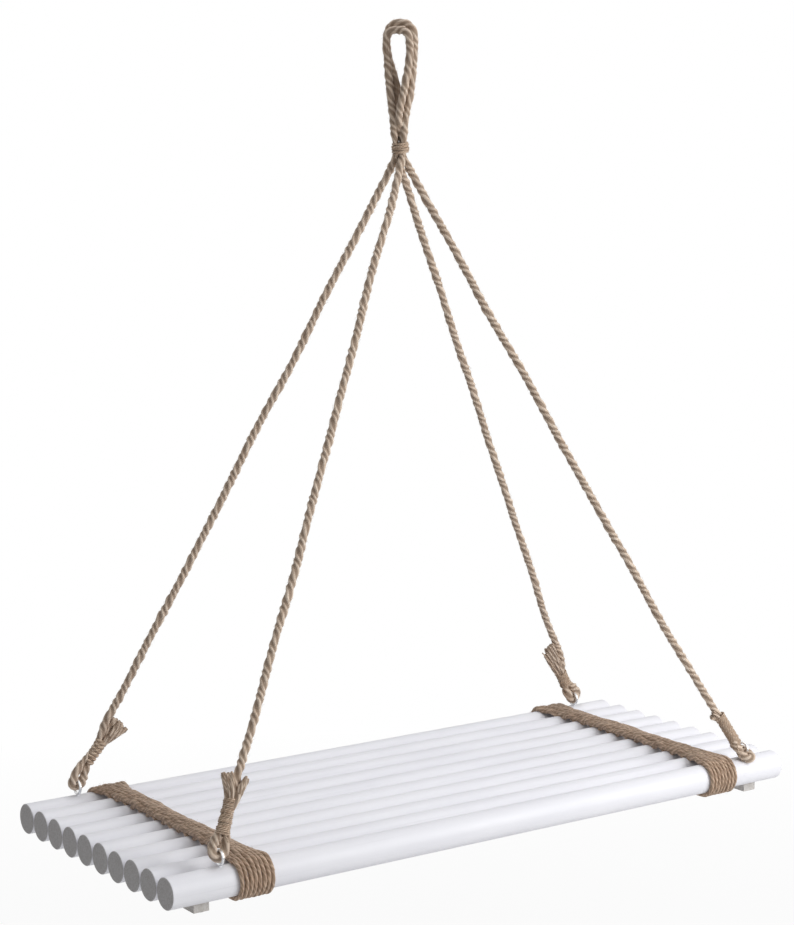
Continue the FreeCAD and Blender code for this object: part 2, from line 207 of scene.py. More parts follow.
def addFuzz(stock, line, facing, radius, count, reach, seed, out=0.7, thick=0.08 * mm):
    # thin tapering tubes, root + (lean along the cord + out) * t + curl * t * t
    work = fibreWork
    rng = np.random.default_rng(seed)
    tangent, side, rise = ringAxes(line, facing)
    at = rng.integers(1, len(line) - 1, count)
    angle = rng.uniform(0, 2 * np.pi, count)
    away = np.cos(angle)[:, None] * side[at] + np.sin(angle)[:, None] * rise[at]
    length = rng.uniform(work["shortest"], 1.0, count)[:, None] * reach
    lean = tangent[at] * rng.choice([-1, 1], count)[:, None] * rng.uniform(*work["lean"], count)[:, None]
    bend = rng.uniform(-work["curl"], work["curl"], count)[:, None]
    curl = np.cross(away, tangent[at]) * bend - away * (work["droop"] - out)
    root = line[at] + away * (np.broadcast_to(radius, len(line))[at] * work["root"])[:, None]
    t = np.linspace(0, 1, len(work["widths"]))[None, :, None]
    straight = lean * work["forward"] + away * out
    hair = root[:, None] + length[:, None, :] * (t * straight[:, None] + t * t * curl[:, None])
    ahead = unit(hair[:, -1] - hair[:, 0])
    across = unit(np.cross(ahead, work["askew"]))
    beside = unit(np.cross(ahead, across))
    spin = np.arange(work["corners"]) * 2 * np.pi / work["corners"]
    ring = np.cos(spin)[None, :, None] * across[:, None] + np.sin(spin)[None, :, None] * beside[:, None]
    width = thick * np.array(work["widths"])[None, :, None, None]
    tone = rng.uniform(0.0, 1.0, count)[:, None, None]
    run = np.linspace(0, work["run"], len(work["widths"]))
    stock.add(hair[:, :, None] + width * ring[:, None], run, work["girth"], 0.0, tone)


# materials: one small class wraps a socket so that shader maths reads as an expression
class Signal:
    def __init__(self, finish, socket):
        self.finish, self.socket = finish, socket

    def maths(self, what, a, b=None):
        return self.finish.node("ShaderNodeMath", dict(operation=what), {0: a} if b is None else {0: a, 1: b})

    def __add__(self, other):
        return self.maths("ADD", self, other)

    def __radd__(self, other):
        return self.maths("ADD", other, self)

    def __sub__(self, other):
        return self.maths("SUBTRACT", self, other)

    def __rsub__(self, other):
        return self.maths("SUBTRACT", other, self)

    def __mul__(self, other):
        return self.maths("MULTIPLY", self, other)

    def __rmul__(self, other):
        return self.maths("MULTIPLY", other, self)

    def __pow__(self, other):
        return self.maths("POWER", self, other)

    def absolute(self):
        return self.maths("ABSOLUTE", self)

    def highest(self, other):
        return self.maths("MAXIMUM", self, other)


class Finish:
    # a material or a world, and the nodes that feed its shader
    def __init__(self, owner, shader="Principled BSDF"):
        owner.use_nodes = True
        self.owner, self.tree = owner, owner.node_tree
        self.shader = self.tree.nodes[shader]

    def node(self, kind, settings=None, inputs=None, out=0):
        # any node: its type, the settings that come first, the values or links of its sockets, its output
        made = self.tree.nodes.new(kind)
        for key, value in (settings or {}).items():
            setattr(made, key, value)
        self.feed(made, inputs or {})
        return Signal(self, made.outputs[out])

    def feed(self, node, inputs):  # values and links into a node's sockets
        for key, value in inputs.items():
            if isinstance(value, Signal):
                self.tree.links.new(value.socket, node.inputs[key])
            else:
                node.inputs[key].default_value = value

    def place(self):  # Object coordinates, in metres
        return self.node("ShaderNodeTexCoord", out="Object")

    def lay(self):  # length along a cord and way round it, in metres
        return self.node("ShaderNodeUVMap", dict(uv_map="lay"))

    def attribute(self, name):
        return self.node("ShaderNodeAttribute", dict(attribute_name=name), out="Fac")

    def split(self, vector):
        parts = self.node("ShaderNodeSeparateXYZ", inputs={0: vector}).socket.node
        return [Signal(self, parts.outputs[k]) for k in range(3)]

    def scaled(self, vector, by):
        return self.node("ShaderNodeVectorMath", dict(operation="MULTIPLY"), {0: vector, 1: by})

    def noise(self, vector, scale, detail=2.0, rough=0.5):
        sockets = dict(Vector=vector, Scale=scale, Detail=detail, Roughness=rough)
        return self.node("ShaderNodeTexNoise", inputs=sockets, out="Fac")

    def level(self, value, low, high, to=(0.0, 1.0)):  # maps low..high onto to, held at its ends
        return self.node("ShaderNodeMapRange", inputs={0: value, 1: low, 2: high, 3: to[0], 4: to[1]})

    def mix(self, share, one, other):  # one colour at 0, the other at 1
        made = self.node("ShaderNodeMix", dict(data_type="RGBA"), {0: share}, out=2)
        self.feed(made.socket.node, {6: one, 7: other})
        return made

    def bump(self, height, distance, strength):
        sockets = dict(Height=height, Distance=distance, Strength=strength)
        self.feed(self.shader, {"Normal": self.node("ShaderNodeBump", inputs=sockets)})


def shade(r, g, b):  # a colour given on a 0 to 255 screen, as linear light by the sRGB curve
    c = np.array([r, g, b]) / 255
    c = np.where(c <= 0.04045, c / 12.92, ((c + 0.055) / 1.055) ** 2.4)
    return (float(c[0]), float(c[1]), float(c[2]), 1.0)


# the three kinds of jute: tones are pale, middle, dark and deep in the grooves, fibres are how often the
# noise repeats along and round the cord, shadow is how dark the grooves go, patches how small its clouds are
juteLooks = dict(
    rope=dict(name="juteRope", tones=((245, 231, 215), (219, 196, 174), (176, 150, 127), (114, 87, 64)),
              fibres=(60.0, 1500.0), shadow=0.65, patches=70.0),
    twine=dict(name="juteTwine", tones=((246, 229, 207), (216, 188, 162), (166, 134, 109), (112, 84, 63)),
               fibres=(120.0, 1700.0), shadow=0.55, patches=130.0),
    cord=dict(name="juteCord", tones=((233, 208, 183), (189, 158, 133), (141, 110, 88), (84, 61, 45)),
              fibres=(95.0, 1300.0), shadow=0.45, patches=170.0),
)
# spans are the noise values over which a tone comes in, shares are how much of it
juteWork = dict(fleckAlong=2.3, fleckRound=1.7, streakShare=0.7, patchShare=0.3, paleSpan=(0.38, 0.62),
                strandTone=0.14, darkSpan=(0.42, 0.70), darkShare=0.45, gapSpan=(0.50, 0.70), gapShare=0.6,
                fleckSpan=(0.60, 0.74), fleckShare=0.7, grooveSpan=(0.3, 1.0), rough=0.92, gloss=0.15,
                sheen=0.2, sheenRough=0.6, fleckHeight=0.35, fibreHeight=0.0006, bump=0.7)


def juteFinish(name, tones, fibres, shadow, patches):
    # streaks and flecks run along the cord: noise of (length * few, girth * many)
    work = juteWork
    pale, middle, dark, deep = (shade(*tone) for tone in tones)
    look = Finish(bpy.data.materials.new(name))
    lay, place, groove, tone = look.lay(), look.place(), look.attribute("groove"), look.attribute("tone")
    streak = look.noise(look.scaled(lay, (fibres[0], fibres[1], 1.0)), 1.0, 3.0, 0.6)
    finer = (fibres[0] * work["fleckAlong"], fibres[1] * work["fleckRound"], 1.0)
    fleck = look.noise(look.scaled(lay, finer), 1.0, 1.0)
    patch = look.noise(place, patches, 3.0, 0.6)
    ground = streak * work["streakShare"] + patch * work["patchShare"]
    body = look.mix(look.level(ground, *work["paleSpan"]), middle, pale)
    body = look.mix(look.level(patch + tone * work["strandTone"], *work["darkSpan"]) * work["darkShare"],
                    body, dark)
    body = look.mix(look.level(1.0 - streak, *work["gapSpan"]) * work["gapShare"], body, dark)
    body = look.mix(look.level(fleck, *work["fleckSpan"]) * work["fleckShare"], body, pale)
    colour = look.mix(look.level(groove, *work["grooveSpan"]) * shadow, body, deep)
    look.feed(look.shader, {"Base Color": colour, "Roughness": work["rough"],
                            "Specular IOR Level": work["gloss"], "Sheen Weight": work["sheen"],
                            "Sheen Roughness": work["sheenRough"]})
    look.bump(streak + fleck * work["fleckHeight"], work["fibreHeight"], work["bump"])
    return look.owner


jute = {kind: juteFinish(**look) for kind, look in juteLooks.items()}

# the loop over the hook: two ropes, points (across the opening, along the hook, up) in mm from the bearing
# inside the crown; below the crown the four strands wind past one another into the neck
ropeWork = dict(radius=4.1, lay=27.0, step=1.2, hookTurn=30.0, loopEnd=-86.0, floor=0.86, turn=1.3,
                seizingAt=-111.0, squeeze=0.32, squeezed=(5, 15), sway=0.4, swayWaves=(0.031, 0.047, 0.083),
                uneven=0.05, unevenWaves=(0.011, 0.019, 0.053), paintedShade=0.8, paintedShadeFrom=(-88, -78),
                paintedShadeTo=(-44, -34), loopFibres=(260, 4.5), neckFibres=(40, 4),
                seeds=dict(sway=40, lay=45, uneven=50, loop=60, neck=70))
loopRoutes = dict(
    loopInner=[(-1.4, -3.3, -121), (-1.6, -3.6, -112), (-3.2, -4.6, -103), (-3.7, -4.5, -92),
               (-5.0, -4.3, -79), (-7.3, -4.4, -64), (-9.2, -4.0, -49), (-10.3, -4.3, -36),
               (-10.7, -4.4, -22), (-13.0, -4.4, -10), (-11.6, -4.0, 3.6), (0.0, -3.6, 5.6),
               (11.4, -4.0, 3.4), (13.6, -4.4, -10), (12.4, -4.4, -27), (9.5, -3.8, -42), (6.4, -4.8, -57),
               (3.8, -6.4, -71), (1.7, -6.3, -83), (0.6, -0.6, -93), (1.0, 3.9, -102), (1.4, 3.3, -112),
               (1.4, 3.3, -121)],
    loopOuter=[(-3.4, 1.1, -121), (-3.4, 1.1, -112), (-5.2, 1.4, -103), (-6.0, 2.4, -92), (-4.6, 3.2, -78),
               (-4.2, 3.2, -64), (-4.3, 3.2, -52), (-7.2, 3.8, -39), (-12.6, 3.9, -26), (-15.8, 4.1, -12),
               (-16.4, 4.3, -1), (-12.8, 3.7, 9.6), (-1.0, 3.2, 13.8), (11.6, 3.6, 9.4), (15.0, 4.2, -5),
               (13.3, 4.2, -27), (11.9, 3.8, -42), (10.8, 3.6, -55), (8.3, 2.8, -67), (6.7, 0.8, -78),
               (5.5, -1.2, -88), (5.3, -1.6, -103), (3.6, -1.1, -112), (3.6, -1.1, -121)],
)
turnedBy = math.radians(ropeWork["hookTurn"])
opening = np.array([math.sin(turnedBy), -math.cos(turnedBy), 0])
hookAxis = np.array([math.cos(turnedBy), math.sin(turnedBy), 0])


def seizingSqueeze(z):  # 1 inside the seizing, 0 away from it
    away = np.abs(z / mm - ropeWork["seizingAt"])
    return 1 - ease(*ropeWork["squeezed"], away)


neckStock = Stock()
loopPieces = {}
work, seeds = ropeWork, ropeWork["seeds"]
for order, (name, points) in enumerate(loopRoutes.items()):
    whole = np.array(points, float) * mm
    route = whole[:, :1] * opening + whole[:, 1:2] * hookAxis + whole[:, 2:] * [0, 0, 1]
    line = smoothLine(name, route, work["step"] * mm)
    run = alongLine(line)
    sway = wander(run, work["swayWaves"], work["sway"] * mm, seeds["sway"] + order)
    line = line + sway[:, None] * hookAxis
    radius = work["radius"] * mm * (1 - work["squeeze"] * seizingSqueeze(line[:, 2]))
    radius = radius * (1 + wander(run, work["unevenWaves"], work["uneven"], seeds["uneven"] + order))
    top = np.flatnonzero(line[:, 2] >= work["loopEnd"] * mm)
    z = line[:, 2] / mm
    # painted shade: only the outer rope is darkened, on the side that the opening's direction leaves behind
    paintedShade = work["paintedShade"] * order * (line @ opening < 0)
    paintedShade = paintedShade * ease(*work["paintedShadeFrom"], z) * (1 - ease(*work["paintedShadeTo"], z))
    laid = dict(turn=order * work["turn"], floor=work["floor"], seed=seeds["lay"] + order)
    stock = Stock()
    layRope(stock, line[top], hookAxis, radius[top], work["lay"] * mm, start=run[top[0]], paintedShade=paintedShade[top],
            **laid)
    many, reach = work["loopFibres"]
    addFuzz(stock, line[top], hookAxis, radius[top], many, reach * mm, seeds["loop"] + order)
    loop = stock.piece(name, jute["rope"], "jute_rope")
    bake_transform(loop)
    loopPieces[name] = (loop, line[top])
    many, reach = work["neckFibres"]
    for side, part in enumerate((np.arange(top[0] + 1), np.arange(top[-1], len(line)))):
        layRope(neckStock, line[part], hookAxis, radius[part], work["lay"] * mm, start=run[part[0]], **laid)
        addFuzz(neckStock, line[part], hookAxis, radius[part], many, reach * mm,
                seeds["neck"] + order * 2 + side)
neck = neckStock.piece("neckStrands", jute["rope"], "jute_rope")
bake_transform(neck)
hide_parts("neck_rope_inner", "neck_rope_outer", "bound_ropes")
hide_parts("loop_rope_inner")
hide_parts("loop_rope_outer")

# the four legs: points (along +X, up the leg, and out of that plane where it leaves it) in mm from the top
# of each screw eye's ring; the standing part comes from the knot, goes down through the whipping, round the
# ring's wire and up again
legWork = dict(radius=4.2, lay=27.0, step=1.2, turn=0.9, pinch=0.30, pinchFrom=(-6, 3), pinchTo=(-2, 7),
               swell=0.10, swellFrom=4, squeeze=0.28, uneven=0.07, unevenWaves=(0.012, 0.023, 0.061, 0.14),
               slackFrom=(4, 60), slackTo=(-0.118, -0.16), sway=1.3, swayWaves=(0.13, 0.21, 0.37), bow=1.0,
               bowWaves=(0.17, 0.29), fibres=(900, 4.5),
               seeds=dict(sway=80, bow=90, uneven=100, lay=105, fibres=110))
legs = dict(
    frontLeft=dict(
        corner="front_left", eye=(-305.1, -149.9, -739.6), leave=(-1.1, -6.1, -118.4), foot=14.0, head=47.0,
        knot=[(0.9, -3.3, -111), (1.1, -4.4, -119)],
        route=[(-1.2, 665), (-0.6, 600), (0.0, 480), (0.2, 300), (-1.3, 180), (-1.5, 110), (-2.2, 78),
               (-3.4, 66), (-1.8, 55), (-1.6, 44), (-0.6, 26), (1.6, 15), (4.6, 6), (5.8, -3), (3.2, -6.6),
               (-3.0, -6.6), (-7.0, -3.4), (-8.0, 5), (-6.6, 17), (-6.2, 42)]),
    backLeft=dict(
        corner="back_left", eye=(-305.1, 129.1, -739.6), leave=(-5.0, 2.3, -118.4), foot=18.0, head=46.0,
        knot=[(-3.0, -0.8, -111), (-3.9, -1.0, -119)],
        route=[(5.7, 660), (5.0, 600), (4.6, 480), (4.7, 330), (3.4, 200), (2.2, 112), (2.2, 88),
               (0.6, 68), (1.8, 57), (4.2, 44), (1.6, 28), (-2.4, 19), (-4.3, 10), (-5.0, 1), (-4.2, -5.2),
               (-2.4, -6.6), (3.0, -6.4), (5.8, -4), (6.0, 4), (4.9, 13), (4.8, 23), (8.6, 42)]),
    backRight=dict(
        corner="back_right", eye=(340.4, 129.1, -739.6), leave=(-0.3, 7.1, -118.4), foot=14.0, head=38.0,
        swell=0.24, knot=[(-0.6, 3.4, -111), (-0.7, 4.2, -119)],
        route=[(2.6, 670), (2.9, 600), (2.0, 500), (0.4, 360), (-0.4, 220), (-0.3, 120), (0.4, 88),
               (1.2, 66), (0.8, 50), (-2.0, 38), (-3.0, 28), (-1.6, 18), (1.4, 10), (4.2, 2.5), (4.4, -5.2),
               (-2.4, -7.4), (-6.2, -5.4), (-7.4, 2), (-6.4, 11), (-6.2, 22), (-8.2, 34)]),
    frontRight=dict(
        corner="front_right", eye=(344.4, -149.9, -739.6), leave=(4.8, -2.2, -118.4), foot=13.0, head=46.0,
        knot=[(3.0, 0.7, -111), (3.9, 1.0, -119)],
        route=[(-4.8, 680), (-6.8, 620), (-9.2, 520), (-11.2, 400), (-13.7, 250), (-15.4, 140), (-15.9, 95),
               (-14.0, 74), (-13.4, 60), (-12.4, 50), (-9.4, 38), (-8.8, 18), (-7.8, 5, 3), (-5.6, -4, 2.5),
               (-4.2, -7, 0), (-3.6, -10, -4.5), (-5.0, -13.6, -9.5), (-8.6, -15, -12), (-12.2, -13, -10),
               (-13.8, -5, -6), (-13.0, 8, -1), (-13.0, 40)]),
)


def legAxes(leg):  # the eye, up the leg, across it nearest +X, out of that plane, and upright in that plane
    eye = np.array(leg["eye"]) * mm
    up = unit(np.array(leg["leave"]) * mm - eye)
    across = unit(np.array([1.0, 0, 0]) - up * up[0])
    rise = unit(np.array([up[0], 0, up[2]]))
    return eye, up, across, np.cross(up, across), rise


def legPoint(leg, side, height, out=0.0):  # eye + upright part below the foot + leaning part above it
    eye, up, across, outward, rise = legAxes(leg)
    side, height, out = (np.asarray(v, float)[..., None] * mm for v in (side, height, out))
    low = np.minimum(height, leg["foot"] * mm)
    return eye + rise * low + up * (height - low) + across * side + outward * out


def legRow(leg, rows):  # the same for rows of (side, height) or (side, height, out)
    side, height, out = np.array([row + (0,) * (3 - len(row)) for row in rows], float).T
    return legPoint(leg, side, height, out)


legPieces = {}
work, seeds = legWork, legWork["seeds"]
for order, (name, leg) in enumerate(legs.items()):
    eye, up, across, outward, _ = legAxes(leg)
    foot, head = leg["foot"], leg["head"]
    route = np.concatenate([np.array(leg["knot"]) * mm, legRow(leg, leg["route"])])
    line = smoothLine("leg", route, work["step"] * mm)
    run = alongLine(line)
    height = (line - eye) @ up / mm
    # the leg sways between its whipping and its knot (slackFrom in mm over the head, slackTo as z in metres)
    free = ease(head + work["slackFrom"][0], head + work["slackFrom"][1], height)
    free = free * ease(*work["slackTo"], line[:, 2])
    sway = wander(run, work["swayWaves"], work["sway"] * mm, seeds["sway"] + order)
    bow = wander(run, work["bowWaves"], work["bow"] * mm, seeds["bow"] + order)
    line = line + free[:, None] * (sway[:, None] * across + bow[:, None] * outward)
    # pinched inside the whipping, swollen below it where the strands open round the eye
    bound = ease(foot + work["pinchFrom"][0], foot + work["pinchFrom"][1], height)
    bound = bound * (1 - ease(head + work["pinchTo"][0], head + work["pinchTo"][1], height))
    low = 1 - ease(work["swellFrom"], foot, height)
    radius = work["radius"] * mm * (1 - work["pinch"] * bound + leg.get("swell", work["swell"]) * low)
    radius = radius * (1 - work["squeeze"] * seizingSqueeze(line[:, 2]))
    radius = radius * (1 + wander(run, work["unevenWaves"], work["uneven"], seeds["uneven"] + order))
    stock = Stock()
    layRope(stock, line, (0, 1, 0), radius, work["lay"] * mm, turn=order * work["turn"],
            seed=seeds["lay"] + order)
    many, reach = work["fibres"]
    addFuzz(stock, line, (0, 1, 0), radius, many, reach * mm, seeds["fibres"] + order)
    rope = stock.piece(name + "Rope", jute["rope"], "jute_rope")
    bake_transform(rope)
    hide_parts("rope_" + leg["corner"])
    legPieces[name] = dict(rope=rope, line=line, extras=[])
print("ropes laid")

# frayed ends: each strand of the cut rope stands out of the whipping as a thick blunt finger; rows are its
# radius and its points (side, up, out) in mm
frayWork = dict(step=0.8, lay=52, around=24, floor=0.86, body=(0.7, 0.3), full=0.5, taper=0.25,
                taperFrom=0.7, yarns=4, yarnFrom=0.45, yarnSpread=0.5, yarnTwist=0.9, yarnOut=(0.46, 0.10),
                partFrom=0.6, yarnPast=(-0.8, 1.4), yarnRadius=(0.6, 0.22), yarnTaperFrom=0.93, yarnLay=30,
                yarnStrands=2, yarnAround=14, yarnFloor=0.93, fibres=(60, 4.0),
                seeds=dict(yarns=130, lay=135, perCorner=8))
frays = dict(
    frontLeft=[(2.7, [(-6.2, 38, 0.6), (-7.4, 48, 1.0), (-11.8, 58, 1.0), (-18.2, 67, 0.2)]),
               (2.6, [(-4.2, 38, -2.0), (-4.4, 48, -2.6), (-7.2, 58, -2.8), (-12.0, 69, -2.6)]),
               (2.4, [(-5.0, 38, -0.8), (-5.8, 48, -1.2), (-9.4, 58, -1.4), (-14.8, 67, -1.6)]),
               (3.4, [(-0.4, 38, -2.4), (0.8, 49, -4.6), (1.0, 58, -5.4), (4.4, 68, -4.8)])],
    backLeft=[(3.4, [(6.6, 40, 1.0), (8.0, 52, 1.6), (9.2, 62, 1.8), (10.8, 71, 1.8)]),
              (3.3, [(7.6, 40, -1.2), (10.2, 51, -1.6), (13.0, 61, -2.0), (16.2, 70, -2.0)]),
              (3.2, [(8.8, 40, 0.6), (13.0, 51, 0.8), (17.4, 60, 0.8), (21.8, 68, 0.8)]),
              (3.0, [(9.6, 40, -0.8), (14.6, 49, -1.2), (20.0, 57.5, -1.4), (26.2, 65.6, -1.4)]),
              (2.8, [(8.0, 40, -2.6), (11.5, 51, -3.4), (15.0, 59, -3.6), (18.6, 65, -3.6)])],
    backRight=[(2.8, [(-5.8, 24, -1.6), (-5.4, 40, -3.0), (-6.0, 58, -3.8), (-7.4, 80, -3.6)]),
               (2.8, [(-7.4, 24, -1.0), (-7.6, 40, -1.8), (-9.2, 57, -2.4), (-11.6, 79, -2.4)]),
               (2.7, [(-8.6, 24, 0.2), (-9.8, 41, -0.2), (-12.2, 56, -0.6), (-14.2, 72, -0.8)]),
               (2.6, [(-9.2, 24, 1.6), (-11.8, 42, 1.4), (-14.8, 56, 1.2), (-16.4, 69, 1.0)]),
               (2.4, [(-7.6, 24, 2.4), (-9.2, 41, 3.0), (-11.2, 56, 3.4), (-12.6, 74, 3.4)])],
    frontRight=[(2.8, [(-13.4, 36, 0.4), (-15.4, 42, 0.8), (-17.8, 46, 0.8), (-20.6, 49, 0.6)]),
                (2.2, [(-13.2, 37, -1.6), (-14.8, 44, -2.2), (-16.6, 49, -2.4), (-18.4, 53, -2.4)])],
)
work, seeds = frayWork, frayWork["seeds"]
for order, (name, fingers) in enumerate(frays.items()):
    _, _, _, outward, _ = legAxes(legs[name])
    stock = Stock()
    rng = np.random.default_rng(seeds["yarns"] + order)
    for number, (thick, points) in enumerate(fingers):
        line = smoothLine("fray", legRow(legs[name], points), work["step"] * mm)
        t = np.linspace(0, 1, len(line))
        seed = seeds["lay"] + order * seeds["perCorner"] + number
        body = thick * mm * (work["body"][0] + work["body"][1] * ease(0, work["full"], t))
        body = body * (1 - work["taper"] * ease(work["taperFrom"], 1, t))
        layRope(stock, line, outward, body, work["lay"] * mm, around=work["around"], turn=number,
                floor=work["floor"], seed=seed)
        tangent, side, lift = ringAxes(line, outward)
        end = t > work["yarnFrom"]
        for yarn in range(work["yarns"]):  # thick yarns that show on the strand and part at its cut end
            turn = 2 * np.pi * (yarn + rng.uniform(0, work["yarnSpread"])) / work["yarns"]
            twist = turn + work["yarnTwist"] * t[end]
            push = work["yarnOut"][0] + work["yarnOut"][1] * ease(work["partFrom"], 1.0, t[end])
            ring = np.cos(twist)[:, None] * side[end] + np.sin(twist)[:, None] * lift[end]
            past = ease(work["yarnFrom"], 1, t[end]) * rng.uniform(*work["yarnPast"]) * mm
            slim = work["yarnRadius"][0] - work["yarnRadius"][1] * ease(work["yarnTaperFrom"], 1, t[end])
            layRope(stock, line[end] + (thick * mm * push)[:, None] * ring + tangent[end] * past[:, None],
                    outward, thick * mm * slim, work["yarnLay"] * mm, work["yarnStrands"],
                    work["yarnAround"], turn, work["yarnFloor"])
        many, reach = work["fibres"]
        addFuzz(stock, line, outward, thick * mm, many, reach * mm, seed)
    piece = stock.piece(name + "Fray", jute["rope"], "jute_rope")
    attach(piece, "swing")
    legPieces[name]["extras"].append(piece)

# whippings of twine round the doubled rope: an oval helix, side * cos + out * sin + rise up the leg, about a
# middle line between two sides; the loose end of the twine follows its own points (side, up, out)
whipWork = dict(perTurn=40, waves=(5.1, 9.7, 31.0), climb=0.7, flare=0.10, flareFrom=0.7, step=0.28,
                lay=3.4, reach=4.5, out=0.35, endStep=0.6, endRadius=0.8, endLay=6,
                seeds=dict(loose=150, lay=155, fibres=160))
whippings = dict(
    frontLeft=dict(twine=1.9, pitch=1.75, low=13.0, high=46.0, middle=(-2.9, -4.1), side=(6.3, 4.7), out=4.6,
                   wave=0.5, hand=1, strands=2, around=12, floor=0.86, fibres=700,
                   end=[(-3.0, 14, -5.4), (-0.8, 10, -7.2), (2.4, 7.4, -7.6)]),
    backLeft=dict(twine=4.8, pitch=4.4, low=21.0, high=45.5, middle=(3.8, 7.7), side=(3.5, 4.6), out=3.3,
                  wave=0.3, hand=-1, strands=3, around=20, floor=0.94, fibres=500, end=None),
    backRight=dict(twine=1.4, pitch=1.2, low=15.0, high=35.0, middle=(-4.4, -5.6), side=(6.2, 6.0), out=4.6,
                   wave=0.6, hand=1, strands=2, around=12, floor=0.9, fibres=900,
                   end=[(-10.8, 34, -3.6), (-15.4, 56, -3.4), (-18.6, 68, -2.8), (-21.4, 77, -2.2)]),
    frontRight=dict(twine=1.5, pitch=1.35, low=5.0, high=45.0, middle=(-10.2, -11.4), side=(5.6, 5.3),
                    out=4.6, wave=0.5, hand=1, strands=2, around=12, floor=0.9, fibres=900,
                    end=[(-13.6, 8, -5.6), (-17.6, -4, -6.6), (-16.8, -12, -6.8), (-15.4, -17, -6.2)]),
)
work, seeds = whipWork, whipWork["seeds"]
for order, (name, whip) in enumerate(whippings.items()):
    _, up, _, outward, _ = legAxes(legs[name])
    turns = (whip["high"] - whip["low"]) / whip["pitch"]
    angle = np.linspace(0, 2 * np.pi * turns, int(turns * work["perTurn"]))
    height = whip["low"] + whip["pitch"] * angle / (2 * np.pi)
    share = (height - whip["low"]) / (whip["high"] - whip["low"])
    flare = 1 + work["flare"] * ease(work["flareFrom"], 1, np.abs(2 * share - 1))
    loose = wander(angle, work["waves"], whip["wave"], seeds["loose"] + order)
    middle = whip["middle"][0] + (whip["middle"][1] - whip["middle"][0]) * share
    wide = whip["side"][0] + (whip["side"][1] - whip["side"][0]) * share
    line = legPoint(legs[name], middle + (wide * flare + loose) * np.cos(angle),
                    height + loose * work["climb"],
                    whip["hand"] * (whip["out"] * flare + loose) * np.sin(angle))
    line = spaced(line, whip["twine"] * work["step"] * mm)
    radius = whip["twine"] / 2 * mm
    stock = Stock()
    layRope(stock, line, up, radius, whip["twine"] * work["lay"] * mm, whip["strands"], whip["around"],
            floor=whip["floor"], seed=seeds["lay"] + order)
    addFuzz(stock, line, up, radius, whip["fibres"], work["reach"] * mm, seeds["fibres"] + order, work["out"])
    if whip["end"]:
        line = smoothLine("twineEnd", legRow(legs[name], whip["end"]), work["endStep"] * mm)
        layRope(stock, line, outward, work["endRadius"] * mm, work["endLay"] * mm, whip["strands"],
                whip["around"])
    piece = stock.piece(name + "Whipping", jute["twine"], "jute_twine")
    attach(piece, "swing")
    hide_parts("whipping_" + legs[name]["corner"])
    legPieces[name]["extras"].append(piece)

# the seizing at the knot: twine round all four strands, radius middle - fall * (height / half)**2, its turns
# slanted by slant * cos(angle)
seizing = dict(twine=2.0, pitch=1.75, turns=6.2, centre=(0.7, -0.5, -110.8), middle=7.9, fall=0.9, slant=0.9,
               places=400, reachWaves=(4.3, 7.9, 17.0), reachWave=0.6, climbWaves=(3.7, 9.1), climbWave=0.7,
               step=0.8, lay=9, around=16, floor=0.86, fibres=(700, 4.0), out=0.45,
               seeds=dict(reach=171, fibres=172, climb=173, lay=174))
work, seeds = seizing, seizing["seeds"]
angle = np.linspace(0, 2 * np.pi * work["turns"], work["places"])
height = work["pitch"] * (angle / (2 * np.pi) - work["turns"] / 2)
wide = work["middle"] - work["fall"] * (height / (work["pitch"] * work["turns"] / 2)) ** 2
wide = wide + wander(angle, work["reachWaves"], work["reachWave"], seeds["reach"])
climb = wander(angle, work["climbWaves"], work["climbWave"], seeds["climb"])
height = height + work["slant"] * np.cos(angle) + climb
line = (np.column_stack([wide * np.cos(angle), wide * np.sin(angle), height]) + work["centre"]) * mm
line = spaced(line, work["step"] * mm)
radius = work["twine"] / 2 * mm
stock = Stock()
layRope(stock, line, (0, 0, 1), radius, work["lay"] * mm, around=work["around"], floor=work["floor"],
        seed=seeds["lay"])
many, reach = work["fibres"]
addFuzz(stock, line, (0, 0, 1), radius, many, reach * mm, seeds["fibres"], work["out"])
band = stock.piece("neckSeizing", jute["twine"], "jute_twine")
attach(band, "knot")
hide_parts("top_seizing")

for name, made in legPieces.items():
    line = made["line"]
for name, (loop, line) in loopPieces.items():
    [neck, band] if name == "loopOuter" else []

# the two lashings: one cord each, eight turns round all the dowels; the turns lie side by side round the
# outer dowels and under the seat, and bunch into a rounded band over the top; lengths in mm; the fibres are
# count, reach, how far they stand out and thickness, those on top come first
lashing = dict(turns=8, pitch=4.65, radius=2.15, lay=22.0, depth=139.5, middle=(13.4, -10.4, -770.0),
               reach=288.0, lie=17.2, tuck=25.0, step=1.6, spacing=31.0, lean=2.6, plump=0.38,
               plumpFrom=(12, 19), flatter=0.72, gather=5, arcPlaces=30, straightPlaces=180, around=12,
               floor=0.955, across=(-8.2, -8.8, -5.8, -3.0, -0.6, 1.8, 4.4, 7.4),
               rise=(0.8, 2.8, 4.4, 5.0, 5.2, 5.0, 3.8, 1.2), sag=(6.5, 1.8, 0.5, 0.0, 0.0, 0.0, 0.0, 0.8),
               overFrom=(12, 20), sideWaves=(41.0, 97.0, 213.0), sideWave=1.1, sideShare=(0.4, 0.6),
               topWaves=(57.0, 139.0), topWave=0.8, lift=0.35, unevenWaves=(0.017, 0.041, 0.11), uneven=0.14,
               topFrom=8, topFibres=(5200, 9.0, 0.30, 0.15), allFibres=(1100, 6.0, 0.38, 0.12),
               seeds=dict(side=180, top=190, uneven=200, lay=205, topFibres=210, allFibres=220))


def turnGrid(x, y, z):  # x, y and z of every turn and place, as one array of points
    return np.stack(np.broadcast_arrays(x, y, z), -1)


